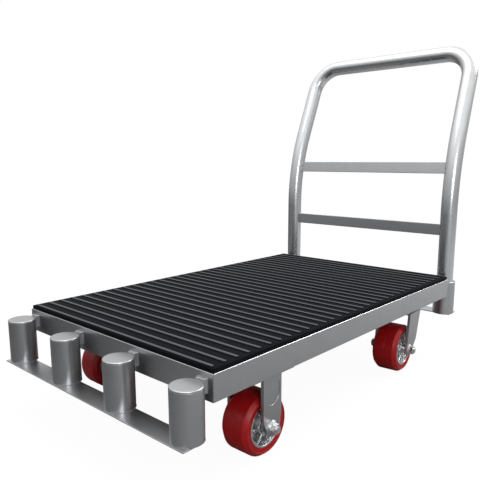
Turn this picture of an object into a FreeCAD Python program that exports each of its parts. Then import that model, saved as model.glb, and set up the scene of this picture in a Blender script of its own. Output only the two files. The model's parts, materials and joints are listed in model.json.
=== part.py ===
"""Platform cart with stake sockets at both ends and a removable push handle.

The deck is a steel angle frame that holds a board and a ribbed rubber mat. Two rigid casters
carry the rear end and two swivel casters the front end, where the handle stands.
Axes: +X along the deck towards the handle, +Y to the left, +Z up. Millimetres.
The origin lies on the floor, under the middle of the whole object's length and width.
"""
import FreeCAD
import Part
import math
import os
from FreeCAD import Vector

# ---- deck frame ----
DECK_LENGTH = 1206.0
DECK_WIDTH = 762.0
FRAME_TOP = 282.0
RAIL_HEIGHT = 63.5
RAIL_WALL = 3.3
RAIL_FLANGE = 50.0
FLANGE_THICKNESS = 4.0
BOARD_THICKNESS = 18.0
MEMBER_HEIGHT = 38.0
MEMBER_WIDTH = 50.0
MEMBER_WALL = 3.0
CASTER_CHANNEL_WIDTH = 170.0

# ---- ribbed mat ----
MAT_THICKNESS = 13.5
MAT_GAP = 0.2
MAT_EDGE_RADIUS = 2.0
RIB_COUNT = 32
RIB_PITCH = 38.1
RIB_WIDTH = 14.0
RIB_HEIGHT = 3.0
RIB_EDGE_RADIUS = 2.0
RIB_END_SETBACK = 6.0

# ---- stake sockets and base strips ----
SOCKET_RADIUS = 37.2
SOCKET_BORE = 30.2
SOCKET_RIM_DROP = 16.0
SOCKET_LENGTH = 121.0
SOCKET_REACH = 46.3
SOCKET_RIM_ROUND = 1.5
SOCKETS_PER_END = 4
SOCKET_Y = 350.0
CAP_THICKNESS = 4.0
CAP_EDGE_RADIUS = 2.5
CAP_SPIGOT = 12.0
CAP_CLEARANCE = 0.2
STRIP_THICKNESS = 3.2
STRIP_WIDTH = 60.0
STRIP_LIP = 3.5
NECK_TUBE_HALF_WIDTH = 12.0
NECK_RAIL_HALF_WIDTH = 15.0
NECK_TUBE_DROP = 2.0
NECK_RAIL_DROP = 12.0
NECK_BOTTOM = 236.0

# ---- push handle ----
HANDLE_RADIUS = 28.6
HANDLE_WALL = 3.0
HANDLE_FOOT_GAP = 0.5
HANDLE_BEND_START = 519.0
HANDLE_BEND_RADIUS = 843.0
HANDLE_LEAN = math.radians(21.0)
HANDLE_TOE_IN = math.radians(3.5)
HANDLE_TOP = 1106.0
HANDLE_CORNER_RADIUS = 103.0
CROSSBAR_HEIGHT = 41.0
CROSSBAR_THICKNESS = 9.5
LOWER_BAR_Z = 455.0
UPPER_BAR_Z = 681.0

# ---- lock screws ----
LOCK_Z = 188.5
LOCK_RADIUS = 5.0
LOCK_RUNNING_GAP = 0.05
LOCK_TIP_GAP = 0.4
LOCK_SHANK_END = 55.0
LOCK_HEAD = 7.0
LOCK_HEAD_FLATS = 17.0
LOCK_NUT_FLATS = 19.0
LOCK_NUT_OUTER = 46.8

# ---- casters ----
WHEEL_RADIUS = 80.0
WHEEL_HALF_WIDTH = 42.0
RIGID_X = -392.5
RIGID_Y = 309.5
KINGPIN_X = 381.0
KINGPIN_Y = 303.5
TRAIL = 40.0
SWIVEL_TURN = 3.8
PLATE_LENGTH = 170.0
PLATE_WIDTH = 126.0
PLATE_THICKNESS = 6.4
PLATE_CORNER = 10.0
BOLT_SPACING_X = 134.0
BOLT_SPACING_Y = 86.0
BOLT_RADIUS = 5.0
BOLT_HOLE_RADIUS = 5.5
BOLT_FLATS = 17.0
BOLT_HEAD = 6.4
NUT_HEIGHT = 8.0
LEG_INNER = 50.0
LEG_THICKNESS = 9.0
LEG_END_RADIUS = 22.0
LEG_TAPER_Z = 105.0
RIGID_LEG_WIDTH = 67.0
EMBOSS_RADIUS = 26.0
EMBOSS_CENTRE_Z = 165.0
EMBOSS_DEPTH = 1.5
RACE_HEIGHT = 8.0
RACE_RADIUS = 40.0
SWIVEL_GAP = 0.4
CROWN_THICKNESS = 6.0
SWIVEL_LEG_FRONT = 46.0
SWIVEL_LEG_BACK = 43.0
KINGPIN_RADIUS = 8.0
KINGPIN_HEAD_RADIUS = 14.0
KINGPIN_HEAD = 5.5

# ---- axle and wheel ----
AXLE_RADIUS = 8.0
AXLE_FLATS = 24.0
AXLE_HEAD = 10.0
AXLE_NUT = 10.0
AXLE_END = 4.0
BOSS_HEIGHT = 5.0
BOSS_RADIUS = 20.0
BOSS_TOP_RADIUS = 14.5
BUSHING_RADIUS = 12.0
BEARING_BORE = 12.05
BEARING_RADIUS = 20.0
BEARING_WIDTH = 12.0
BEARING_GROOVE = 1.2
CORE_RADIUS = 56.0
CORE_HALF_WIDTH = 39.5
RIM_INNER = 49.0
HUB_RADIUS = 26.0
WEB_HALF_THICKNESS = 6.0
SPOKE_COUNT = 6
SPOKE_THICKNESS = 8.0
SPOKE_HALF_WIDTH = 34.0
TREAD_SIDE_RADIUS = 66.0
TREAD_BEVEL_RADIUS = 70.0
TREAD_FLAT_HALF = 30.0
TREAD_CROWN = 1.0

# ---- places worked out from the sizes above ----
RAIL_BOTTOM = FRAME_TOP - RAIL_HEIGHT
FLANGE_TOP = RAIL_BOTTOM + FLANGE_THICKNESS
BOARD_BOTTOM = FLANGE_TOP + MEMBER_HEIGHT
BOARD_TOP = BOARD_BOTTOM + BOARD_THICKNESS
MAT_TOP = BOARD_TOP + MAT_THICKNESS
PLATE_BOTTOM = RAIL_BOTTOM - PLATE_THICKNESS
CROWN_TOP = PLATE_BOTTOM - RACE_HEIGHT - SWIVEL_GAP
CROWN_BOTTOM = CROWN_TOP - CROWN_THICKNESS
SOCKET_TOP = FRAME_TOP - SOCKET_RIM_DROP
SOCKET_BOTTOM = SOCKET_TOP - SOCKET_LENGTH
SOCKET_PITCH = 2 * SOCKET_Y / (SOCKETS_PER_END - 1)
LEG_OUTER = LEG_INNER + LEG_THICKNESS
BEND_RISE = HANDLE_BEND_RADIUS * math.sin(HANDLE_LEAN)
BEND_REACH = HANDLE_BEND_RADIUS * (1 - math.cos(HANDLE_LEAN))
LEAN_RISE = HANDLE_TOP - HANDLE_BEND_START - BEND_RISE
TOP_BAR_REACH = BEND_REACH + LEAN_RISE * math.tan(HANDLE_LEAN)
TOP_BAR_X = DECK_LENGTH / 2 + SOCKET_REACH + TOP_BAR_REACH * math.cos(HANDLE_TOE_IN)
REAR_END = -(DECK_LENGTH / 2 + SOCKET_REACH + SOCKET_RADIUS + STRIP_LIP)
FRONT_END = TOP_BAR_X + HANDLE_RADIUS
DECK_X = -(REAR_END + FRONT_END) / 2

X_AXIS = Vector(1, 0, 0)
Y_AXIS = Vector(0, 1, 0)
Z_AXIS = Vector(0, 0, 1)


# ---- helpers ----
def box(x0, x1, y0, y1, z0, z1):
    return Part.makeBox(x1 - x0, y1 - y0, z1 - z0, Vector(x0, y0, z0))


def cylinder(radius, start, end):
    run = end - start
    return Part.makeCylinder(radius, run.Length, start, run)


def cone(radius, top_radius, start, end):
    run = end - start
    return Part.makeCone(radius, top_radius, run.Length, start, run)


def ring(radius, bore, start, end):
    return cylinder(radius, start, end).cut(cylinder(bore, start, end))


def extrude(points, direction):
    """A prism on a closed polygon."""
    return Part.Face(Part.makePolygon(points + points[:1])).extrude(direction)


def hexagon(flats, start, end):
    """A hexagonal prism between two points, with the given width across flats."""
    run = end - start
    corner = flats / math.sqrt(3)
    angles = [math.radians(60 * step) for step in range(6)]
    points = [Vector(corner * math.cos(a), corner * math.sin(a), 0) for a in angles]
    prism = extrude(points, Vector(0, 0, run.Length))
    turn = FreeCAD.Rotation(Z_AXIS, run)
    prism.Placement = FreeCAD.Placement(start, turn)
    return prism


def chamfered_hexagon(flats, start, end):
    """A hexagonal prism whose far face has turned corners, as on a nut or a bolt head."""
    run = end - start
    corner = flats / math.sqrt(3)
    turned = cone(corner + run.Length, corner - 1.2, start, end)
    return hexagon(flats, start, end).common(turned)


def lathe(profile, axis):
    """A solid turned from (radius, place along the axis) pairs."""
    across = Z_AXIS if axis is Y_AXIS else X_AXIS
    points = [across * radius + axis * place for radius, place in profile]
    face = Part.Face(Part.makePolygon(points + points[:1]))
    return face.revolve(Vector(0, 0, 0), axis, 360)


def moved(shape, x, y, z):
    return shape.translated(Vector(x, y, z))


def fused(solids):
    first, rest = solids[0], solids[1:]
    return first.multiFuse(rest).removeSplitter() if rest else first


# ---- deck frame ----
def mitred_rail(length, width):
    """An angle rail along +X with its outer face at y = 0, mitred at both ends."""
    half = length / 2

    def layer(depth, z0, z1):
        outline = [Vector(-half, 0, z0), Vector(half, 0, z0),
                   Vector(half - depth, depth, z0), Vector(-half + depth, depth, z0)]
        return extrude(outline, Vector(0, 0, z1 - z0))

    wall = layer(RAIL_WALL, RAIL_BOTTOM, FRAME_TOP)
    flange = layer(width, RAIL_BOTTOM, FLANGE_TOP)
    return fused([wall, flange])


def side_rail(side):
    rail = mitred_rail(DECK_LENGTH, RAIL_FLANGE)
    rail = moved(rail, 0, -DECK_WIDTH / 2, 0)
    if side > 0:
        rail.rotate(Vector(0, 0, 0), Z_AXIS, 180)
    return moved(rail, DECK_X, 0, 0)


def end_rail(end):
    rail = mitred_rail(DECK_WIDTH, RAIL_FLANGE)
    rail = moved(rail, 0, -DECK_LENGTH / 2, 0)
    rail.rotate(Vector(0, 0, 0), Z_AXIS, 90 * end)
    return moved(rail, DECK_X, 0, 0)


def caster_channel(x):
    """An open channel across the frame whose web lies level with the rail flanges."""
    half = CASTER_CHANNEL_WIDTH / 2
    reach = DECK_WIDTH / 2 - RAIL_FLANGE
    outer = box(x - half, x + half, -reach, reach, RAIL_BOTTOM, BOARD_BOTTOM)
    hollow = box(x - half + MEMBER_WALL, x + half - MEMBER_WALL, -reach, reach, FLANGE_TOP, BOARD_BOTTOM)
    return moved(outer.cut(hollow), DECK_X, 0, 0)


def middle_cross_member():
    half = MEMBER_WIDTH / 2
    reach = DECK_WIDTH / 2 - RAIL_WALL
    outer = box(-half, half, -reach, reach, FLANGE_TOP, BOARD_BOTTOM)
    inner = box(-half + MEMBER_WALL, half - MEMBER_WALL, -reach, reach,
                FLANGE_TOP + MEMBER_WALL, BOARD_BOTTOM - MEMBER_WALL)
    return moved(outer.cut(inner), DECK_X, 0, 0)


def deck_board():
    half_length = DECK_LENGTH / 2 - RAIL_WALL
    half_width = DECK_WIDTH / 2 - RAIL_WALL
    board = box(-half_length, half_length, -half_width, half_width, BOARD_BOTTOM, BOARD_TOP)
    return moved(board, DECK_X, 0, 0)


def mat_rib():
    """One rib with round ends and a rounded top, sunk a little into the mat."""
    half = RIB_WIDTH / 2
    reach = DECK_WIDTH / 2 - RAIL_WALL - MAT_GAP - RIB_END_SETBACK - half
    foot = MAT_TOP - 1.0
    top = MAT_TOP + RIB_HEIGHT
    bar = box(-half, half, -reach, reach, foot, top)
    ends = [cylinder(half, Vector(0, y, foot), Vector(0, y, top)) for y in (-reach, reach)]
    rib = fused([bar] + ends)
    top_edges = [edge for edge in rib.Edges if edge.BoundBox.ZMin > top - 0.01]
    return rib.makeFillet(RIB_EDGE_RADIUS, top_edges)


def ribbed_mat():
    half_length = DECK_LENGTH / 2 - RAIL_WALL - MAT_GAP
    half_width = DECK_WIDTH / 2 - RAIL_WALL - MAT_GAP
    mat = box(-half_length, half_length, -half_width, half_width, BOARD_TOP, MAT_TOP)
    top_edges = [edge for edge in mat.Edges if edge.BoundBox.ZMin > MAT_TOP - 0.01]
    mat = mat.makeFillet(MAT_EDGE_RADIUS, top_edges)
    rib = mat_rib()
    first = -(RIB_COUNT - 1) * RIB_PITCH / 2
    ribs = [moved(rib, first + step * RIB_PITCH, 0, 0) for step in range(RIB_COUNT)]
    return moved(mat.multiFuse(ribs), DECK_X, 0, 0)


# ---- sockets ----
def socket_places(end):
    x = DECK_X + end * (DECK_LENGTH / 2 + SOCKET_REACH)
    return [(x, -SOCKET_Y + step * SOCKET_PITCH) for step in range(SOCKETS_PER_END)]


def holds_handle(end, number):
    return end > 0 and number in (1, SOCKETS_PER_END)


def open_socket(x, y):
    """A socket for a leg of the handle: round rim, and a hole for the lock screw."""
    bottom = Vector(x, y, SOCKET_BOTTOM)
    top = Vector(x, y, SOCKET_TOP)
    tube = ring(SOCKET_RADIUS, SOCKET_BORE, bottom, top)
    rim = [edge for edge in tube.Edges if edge.BoundBox.ZMin > SOCKET_TOP - 0.01]
    return tube.makeFillet(SOCKET_RIM_ROUND, rim).cut(lock_hole(x, y))


def capped_socket(x, y):
    return ring(SOCKET_RADIUS, SOCKET_BORE, Vector(x, y, SOCKET_BOTTOM), Vector(x, y, SOCKET_TOP - CAP_THICKNESS))


def socket_cap(x, y):
    """A flat cap with a rounded edge, and a spigot that centres it in the tube."""
    under = SOCKET_TOP - CAP_THICKNESS
    disc = cylinder(SOCKET_RADIUS, Vector(x, y, under), Vector(x, y, SOCKET_TOP))
    rim = [edge for edge in disc.Edges if edge.BoundBox.ZMin > SOCKET_TOP - 0.01]
    disc = disc.makeFillet(CAP_EDGE_RADIUS, rim)
    spigot = cylinder(SOCKET_BORE - CAP_CLEARANCE, Vector(x, y, under - CAP_SPIGOT), Vector(x, y, under))
    return fused([disc, spigot])


def socket_necks(end):
    """Flared blocks that join the sockets of one end to its rail, with sloping tops."""
    rail_face = end * DECK_LENGTH / 2
    tube_x = rail_face + end * SOCKET_REACH
    waist_x = rail_face + end * (SOCKET_REACH - SOCKET_RADIUS) * 0.6
    rail_half, tube_half = NECK_RAIL_HALF_WIDTH, NECK_TUBE_HALF_WIDTH
    waist_half = tube_half + (rail_half - tube_half) * 0.25
    corners = [Vector(rail_face, -rail_half, 0), Vector(waist_x, -waist_half, 0),
               Vector(tube_x, -tube_half, 0), Vector(tube_x, tube_half, 0),
               Vector(waist_x, waist_half, 0), Vector(rail_face, rail_half, 0)]
    flank = Part.Arc(*corners[:3]).toShape()
    across = Part.makeLine(corners[2], corners[3])
    other_flank = Part.Arc(*corners[3:]).toShape()
    back = Part.makeLine(corners[5], corners[0])
    outline = Part.Wire([flank, across, other_flank, back])
    block = Part.Face(outline).extrude(Vector(0, 0, FRAME_TOP - NECK_BOTTOM))
    slope = [Vector(rail_face - end, -DECK_WIDTH, FRAME_TOP - NECK_RAIL_DROP),
             Vector(tube_x, -DECK_WIDTH, SOCKET_TOP - NECK_TUBE_DROP),
             Vector(tube_x, -DECK_WIDTH, FRAME_TOP + 1), Vector(rail_face - end, -DECK_WIDTH, FRAME_TOP + 1)]
    above = extrude(slope, Vector(0, 2 * DECK_WIDTH, 0))
    block = moved(block, 0, 0, NECK_BOTTOM).cut(above)
    necks = []
    for x, y in socket_places(end):
        tube = cylinder(SOCKET_RADIUS, Vector(x, y, 0), Vector(x, y, FRAME_TOP))
        necks.append(moved(block, DECK_X, y, 0).cut(tube))
    return Part.makeCompound(necks)


def base_strip(end):
    outer = end * (DECK_LENGTH / 2 + SOCKET_REACH + SOCKET_RADIUS + STRIP_LIP)
    inner = outer - end * STRIP_WIDTH
    half = DECK_WIDTH / 2
    strip = box(min(inner, outer), max(inner, outer), -half, half,
                SOCKET_BOTTOM - STRIP_THICKNESS, SOCKET_BOTTOM)
    return moved(strip, DECK_X, 0, 0)


# ---- push handle ----
def handle_profile(height):
    """Distance forward and lean angle of a leg's centre line at a height in the bend."""
    angle = math.asin((height - HANDLE_BEND_START) / HANDLE_BEND_RADIUS) if height > HANDLE_BEND_START else 0.0
    return HANDLE_BEND_RADIUS * (1 - math.cos(angle)), angle


def handle_path():
    """The tube's centre line: up one leg, across the top and down the other.

    Each leg leans forward and a little inward, so the top bar is shorter than the feet are apart.
    """
    foot_x = DECK_X + DECK_LENGTH / 2 + SOCKET_REACH
    foot_z = SOCKET_BOTTOM + HANDLE_FOOT_GAP
    half_lean = HANDLE_LEAN / 2

    def leg(side):
        toward = Vector(math.cos(HANDLE_TOE_IN), -side * math.sin(HANDLE_TOE_IN), 0)
        lean = toward * math.sin(HANDLE_LEAN) + Z_AXIS * math.cos(HANDLE_LEAN)
        inward = Vector(0, -side, 0)
        base = Vector(foot_x, side * SOCKET_Y, 0)
        foot, bend_start = base + Z_AXIS * foot_z, base + Z_AXIS * HANDLE_BEND_START
        middle = (bend_start + toward * (HANDLE_BEND_RADIUS * (1 - math.cos(half_lean)))
                  + Z_AXIS * (HANDLE_BEND_RADIUS * math.sin(half_lean)))
        bend_end = bend_start + toward * BEND_REACH + Z_AXIS * BEND_RISE
        corner = base + toward * TOP_BAR_REACH + Z_AXIS * HANDLE_TOP
        half = inward.getAngle(lean * -1) / 2
        cut = HANDLE_CORNER_RADIUS / math.tan(half)
        bisector = (inward - lean).normalize()
        nearest = corner + bisector * (HANDLE_CORNER_RADIUS / math.sin(half) - HANDLE_CORNER_RADIUS)
        bar_end = corner + inward * cut
        edges = [Part.makeLine(foot, bend_start), Part.Arc(bend_start, middle, bend_end).toShape(),
                 Part.makeLine(bend_end, corner - lean * cut),
                 Part.Arc(corner - lean * cut, nearest, bar_end).toShape()]
        return edges, bar_end

    right, right_end = leg(-1)
    left, left_end = leg(1)
    return Part.Wire(right + [Part.makeLine(right_end, left_end)] + left[::-1])


def handle_solid(radius):
    path = handle_path()
    foot = Vector(DECK_X + DECK_LENGTH / 2 + SOCKET_REACH, -SOCKET_Y, SOCKET_BOTTOM + HANDLE_FOOT_GAP)
    circle = Part.Wire(Part.makeCircle(radius, foot, Z_AXIS))
    return path.makePipeShell([circle], True, False)


def handle_tube():
    return handle_solid(HANDLE_RADIUS).cut(handle_solid(HANDLE_RADIUS - HANDLE_WALL))


def crossbar(height, outer):
    reach, angle = handle_profile(height)
    half_height, half_thickness = CROSSBAR_HEIGHT / 2, CROSSBAR_THICKNESS / 2
    bar = box(-half_thickness, half_thickness, -SOCKET_Y, SOCKET_Y, -half_height, half_height)
    bar.rotate(Vector(0, 0, 0), Y_AXIS, math.degrees(angle))
    bar = moved(bar, DECK_X + DECK_LENGTH / 2 + SOCKET_REACH + reach, 0, height)
    pieces = bar.cut(outer).Solids
    return max(pieces, key=lambda piece: piece.Volume)


# ---- lock screws on the two sockets that hold the handle ----
def lock_hole(x, y):
    radius = LOCK_RADIUS + LOCK_RUNNING_GAP
    return cylinder(radius, Vector(x, y, LOCK_Z), Vector(x + LOCK_NUT_OUTER + 1, y, LOCK_Z))


def lock_nut(x, y):
    nut = hexagon(LOCK_NUT_FLATS, Vector(x + SOCKET_BORE, y, LOCK_Z), Vector(x + LOCK_NUT_OUTER, y, LOCK_Z))
    tube = cylinder(SOCKET_RADIUS, Vector(x, y, SOCKET_BOTTOM), Vector(x, y, SOCKET_TOP))
    return nut.cut(tube).cut(lock_hole(x, y))


def lock_screw(x, y):
    tip = Vector(x + HANDLE_RADIUS + LOCK_TIP_GAP, y, LOCK_Z)
    neck = Vector(x + LOCK_SHANK_END, y, LOCK_Z)
    end = neck + Vector(LOCK_HEAD, 0, 0)
    return fused([cylinder(LOCK_RADIUS, tip, neck), chamfered_hexagon(LOCK_HEAD_FLATS, neck, end)])


# ---- casters, each made about x = 0 and y = 0 ----
def bolt_places():
    return [(sx * BOLT_SPACING_X / 2, sy * BOLT_SPACING_Y / 2) for sx in (-1, 1) for sy in (-1, 1)]


def top_plate():
    half_x, half_y = PLATE_LENGTH / 2, PLATE_WIDTH / 2
    plate = box(-half_x, half_x, -half_y, half_y, PLATE_BOTTOM, RAIL_BOTTOM)
    corners = [edge for edge in plate.Edges if edge.BoundBox.ZLength > PLATE_THICKNESS / 2]
    plate = plate.makeFillet(PLATE_CORNER, corners)
    for x, y in bolt_places():
        plate = plate.cut(cylinder(BOLT_HOLE_RADIUS, Vector(x, y, PLATE_BOTTOM), Vector(x, y, RAIL_BOTTOM)))
    return plate


def leg_end(axle_x):
    """The round lower end of a leg, in the XZ plane of its inner face."""
    start = Vector(axle_x, LEG_INNER, WHEEL_RADIUS)
    return cylinder(LEG_END_RADIUS, start, start + Vector(0, LEG_THICKNESS, 0))


def axle_boss(axle_x):
    start = Vector(axle_x, LEG_OUTER, WHEEL_RADIUS)
    return cone(BOSS_RADIUS, BOSS_TOP_RADIUS, start, start + Vector(0, BOSS_HEIGHT, 0))


def leg_blade(front_top, back_top, front_taper, back_taper, axle_x, top):
    """A leg outline: straight flanks down to the taper, then flanks tangent to the round end."""
    spread = LEG_END_RADIUS * math.cos(math.radians(25))
    drop = WHEEL_RADIUS - LEG_END_RADIUS * math.sin(math.radians(25))
    places = [(-back_top, top), (-back_taper, LEG_TAPER_Z), (axle_x - spread, drop),
              (axle_x + spread, drop), (front_taper, LEG_TAPER_Z), (front_top, top)]
    points = [Vector(x, LEG_INNER, z) for x, z in places]
    return extrude(points, Vector(0, LEG_THICKNESS, 0))


def emboss():
    """The shallow round-ended pocket pressed into the outer face of a rigid leg."""
    face = LEG_OUTER - EMBOSS_DEPTH
    centre = Vector(0, face, EMBOSS_CENTRE_Z)
    rounded = cylinder(EMBOSS_RADIUS, centre, centre + Vector(0, EMBOSS_DEPTH, 0))
    panel_top = PLATE_BOTTOM - 2 * LEG_THICKNESS
    panel = box(-EMBOSS_RADIUS, EMBOSS_RADIUS, face, LEG_OUTER, EMBOSS_CENTRE_Z, panel_top)
    return fused([rounded, panel])


def two_legs(leg, axle_x):
    """The leg and its mirror image, drilled for the axle."""
    other = leg.mirror(Vector(0, 0, 0), Y_AXIS)
    reach = LEG_OUTER + BOSS_HEIGHT
    hole = cylinder(AXLE_RADIUS, Vector(axle_x, -reach, WHEEL_RADIUS), Vector(axle_x, reach, WHEEL_RADIUS))
    return [leg.cut(hole), other.cut(hole)]


def rigid_fork():
    half = RIGID_LEG_WIDTH / 2
    blade = leg_blade(half, half, half, half, 0, PLATE_BOTTOM)
    leg = fused([blade, leg_end(0), axle_boss(0)]).cut(emboss())
    return fused([top_plate()] + two_legs(leg, 0))


def swivel_plate():
    return top_plate().cut(cylinder(KINGPIN_RADIUS, Vector(0, 0, PLATE_BOTTOM), Vector(0, 0, RAIL_BOTTOM)))


def swivel_race():
    return ring(RACE_RADIUS, KINGPIN_RADIUS, Vector(0, 0, PLATE_BOTTOM - RACE_HEIGHT), Vector(0, 0, PLATE_BOTTOM))


def kingpin():
    shank = cylinder(KINGPIN_RADIUS, Vector(0, 0, CROWN_BOTTOM - SWIVEL_GAP), Vector(0, 0, RAIL_BOTTOM))
    head_top = CROWN_BOTTOM - SWIVEL_GAP
    head = cone(KINGPIN_HEAD_RADIUS, KINGPIN_HEAD_RADIUS - 2, Vector(0, 0, head_top),
                Vector(0, 0, head_top - KINGPIN_HEAD))
    return fused([shank, head])


def swivel_fork():
    blade = leg_blade(SWIVEL_LEG_FRONT, SWIVEL_LEG_BACK, 15.0, 57.0, -TRAIL, CROWN_TOP)
    leg = fused([blade, leg_end(-TRAIL), axle_boss(-TRAIL)])
    crown = box(-SWIVEL_LEG_BACK, SWIVEL_LEG_FRONT, -LEG_OUTER, LEG_OUTER, CROWN_BOTTOM, CROWN_TOP)
    crown = crown.cut(cylinder(KINGPIN_RADIUS + LOCK_RUNNING_GAP, Vector(0, 0, CROWN_BOTTOM), Vector(0, 0, CROWN_TOP)))
    return fused([crown] + two_legs(leg, -TRAIL))


def at_height(y, z=WHEEL_RADIUS):
    return Vector(0, y, z)


def axle_bolt():
    """Hexagon head at +Y, shank through both legs and past the nut at -Y."""
    face = LEG_OUTER + BOSS_HEIGHT
    head = chamfered_hexagon(AXLE_FLATS, at_height(face), at_height(face + AXLE_HEAD))
    shank = cylinder(AXLE_RADIUS, at_height(-face - AXLE_NUT - AXLE_END), at_height(face))
    return fused([shank, head])


def axle_nut():
    face = LEG_OUTER + BOSS_HEIGHT
    nut = chamfered_hexagon(AXLE_FLATS, at_height(-face), at_height(-face - AXLE_NUT))
    return nut.cut(cylinder(AXLE_RADIUS, at_height(-face), at_height(-face - AXLE_NUT)))


def bushing():
    return ring(BUSHING_RADIUS, AXLE_RADIUS, at_height(-LEG_INNER), at_height(LEG_INNER))


def wheel_core():
    half = CORE_HALF_WIDTH
    rim = [(RIM_INNER, -half), (CORE_RADIUS, -half), (CORE_RADIUS, half), (RIM_INNER, half),
           (RIM_INNER - 3, WEB_HALF_THICKNESS), (RIM_INNER - 3, -WEB_HALF_THICKNESS)]
    web = [(HUB_RADIUS - 1, -WEB_HALF_THICKNESS), (RIM_INNER, -WEB_HALF_THICKNESS),
           (RIM_INNER, WEB_HALF_THICKNESS), (HUB_RADIUS - 1, WEB_HALF_THICKNESS)]
    hub = [(BEARING_RADIUS, -half), (HUB_RADIUS, -half), (HUB_RADIUS + 3, 0), (HUB_RADIUS, half),
           (BEARING_RADIUS, half), (BEARING_RADIUS, half - BEARING_WIDTH),
           (BEARING_RADIUS - 3, half - BEARING_WIDTH), (BEARING_RADIUS - 3, BEARING_WIDTH - half),
           (BEARING_RADIUS, BEARING_WIDTH - half)]
    solids = [lathe(profile, Y_AXIS) for profile in (rim, web, hub)]
    width = SPOKE_HALF_WIDTH
    spoke = box(HUB_RADIUS - 1, RIM_INNER + 1, -width, width, -SPOKE_THICKNESS / 2, SPOKE_THICKNESS / 2)
    for step in range(SPOKE_COUNT):
        arm = spoke.copy()
        arm.rotate(Vector(0, 0, 0), Y_AXIS, 360.0 * step / SPOKE_COUNT)
        solids.append(arm)
    return moved(fused(solids), 0, 0, WHEEL_RADIUS)


def tread():
    half, side = WHEEL_HALF_WIDTH, CORE_HALF_WIDTH
    profile = [(CORE_RADIUS, -side), (TREAD_SIDE_RADIUS, -side), (TREAD_BEVEL_RADIUS, -half),
               (WHEEL_RADIUS - TREAD_CROWN, -TREAD_FLAT_HALF), (WHEEL_RADIUS, 0),
               (WHEEL_RADIUS - TREAD_CROWN, TREAD_FLAT_HALF), (TREAD_BEVEL_RADIUS, half),
               (TREAD_SIDE_RADIUS, side), (CORE_RADIUS, side)]
    return moved(lathe(profile, Y_AXIS), 0, 0, WHEEL_RADIUS)


def wheel_bearings():
    """A ball bearing at each end of the hub, each one ring with a grooved face."""
    bearings = []
    for side in (-1, 1):
        inner = side * (CORE_HALF_WIDTH - BEARING_WIDTH)
        outer = side * CORE_HALF_WIDTH
        body = ring(BEARING_RADIUS, BEARING_BORE, at_height(inner), at_height(outer))
        middle = (BEARING_RADIUS + BEARING_BORE) / 2
        groove = ring(middle + BEARING_GROOVE, middle - BEARING_GROOVE,
                      at_height(outer - side * BEARING_GROOVE), at_height(outer))
        bearings.append(body.cut(groove))
    return Part.makeCompound(bearings)


def caster_bolt():
    """Head under the plate, shank up through the plate and the frame."""
    end = FLANGE_TOP + NUT_HEIGHT + AXLE_END
    head = chamfered_hexagon(BOLT_FLATS, Vector(0, 0, PLATE_BOTTOM), Vector(0, 0, PLATE_BOTTOM - BOLT_HEAD))
    return fused([head, cylinder(BOLT_RADIUS, Vector(0, 0, PLATE_BOTTOM), Vector(0, 0, end))])


def caster_nut():
    start, end = Vector(0, 0, FLANGE_TOP), Vector(0, 0, FLANGE_TOP + NUT_HEIGHT)
    return chamfered_hexagon(BOLT_FLATS, start, end).cut(cylinder(BOLT_RADIUS, start, end))


def caster_bolt_sites():
    sites = []
    for plate_x, plate_y in ((RIGID_X, RIGID_Y), (KINGPIN_X, KINGPIN_Y)):
        for side in (-1, 1):
            sites += [(DECK_X + plate_x + x, side * plate_y + y) for x, y in bolt_places()]
    return sites


def drilled(shape):
    """The shape with the caster bolts' clearance holes."""
    for x, y in caster_bolt_sites():
        shape = shape.cut(cylinder(BOLT_HOLE_RADIUS, Vector(x, y, PLATE_BOTTOM), Vector(x, y, FLANGE_TOP)))
    return shape


# ---- the whole object, node by node ----
def frame_nodes():
    return {
        "side_rail_left": drilled(side_rail(1)),
        "side_rail_right": drilled(side_rail(-1)),
        "end_rail_front": end_rail(1),
        "end_rail_rear": end_rail(-1),
        "caster_channel_front": drilled(caster_channel(KINGPIN_X)),
        "caster_channel_rear": drilled(caster_channel(RIGID_X)),
        "middle_cross_member": middle_cross_member(),
        "deck_board": deck_board(),
        "ribbed_mat": ribbed_mat(),
    }


def socket_nodes():
    nodes = {}
    caps = []
    for name, end in (("rear", -1), ("front", 1)):
        for number, (x, y) in enumerate(socket_places(end), start=1):
            if holds_handle(end, number):
                nodes[f"socket_{name}_{number}"] = open_socket(x, y)
            else:
                nodes[f"socket_{name}_{number}"] = capped_socket(x, y)
                caps.append(socket_cap(x, y))
        nodes[f"socket_necks_{name}"] = socket_necks(end)
        nodes[f"base_strip_{name}"] = base_strip(end)
    nodes["socket_caps"] = Part.makeCompound(caps)
    return nodes


def handle_nodes():
    outer = handle_solid(HANDLE_RADIUS)
    right, left = socket_places(1)[0], socket_places(1)[-1]
    return {
        "handle_tube": handle_tube(),
        "handle_crossbar_lower": crossbar(LOWER_BAR_Z, outer),
        "handle_crossbar_upper": crossbar(UPPER_BAR_Z, outer),
        "lock_nuts": Part.makeCompound([lock_nut(*right), lock_nut(*left)]),
        "lock_screw_left": lock_screw(*left),
        "lock_screw_right": lock_screw(*right),
    }


def wheel_nodes():
    return {"wheel_core": wheel_core(), "wheel_tread": tread(), "wheel_bearings": wheel_bearings()}


def facing(shape, side):
    """A caster piece made for the right side, turned about when it goes on the left."""
    turned = shape.copy()
    turned.rotate(Vector(0, 0, 0), Z_AXIS, 90 * (1 + side))
    return turned


def pair(shape, x, y):
    """The same piece at the left and at the right caster of one end, as one group."""
    return Part.makeCompound([moved(facing(shape, side), x, side * y, 0) for side in (-1, 1)])


def swivelled(shape, side):
    """The shape turned about the upright axis x = y = 0, as a swivel caster stands at rest."""
    turned = shape.copy()
    turned.rotate(Vector(0, 0, 0), Z_AXIS, -side * SWIVEL_TURN)
    return turned


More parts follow.
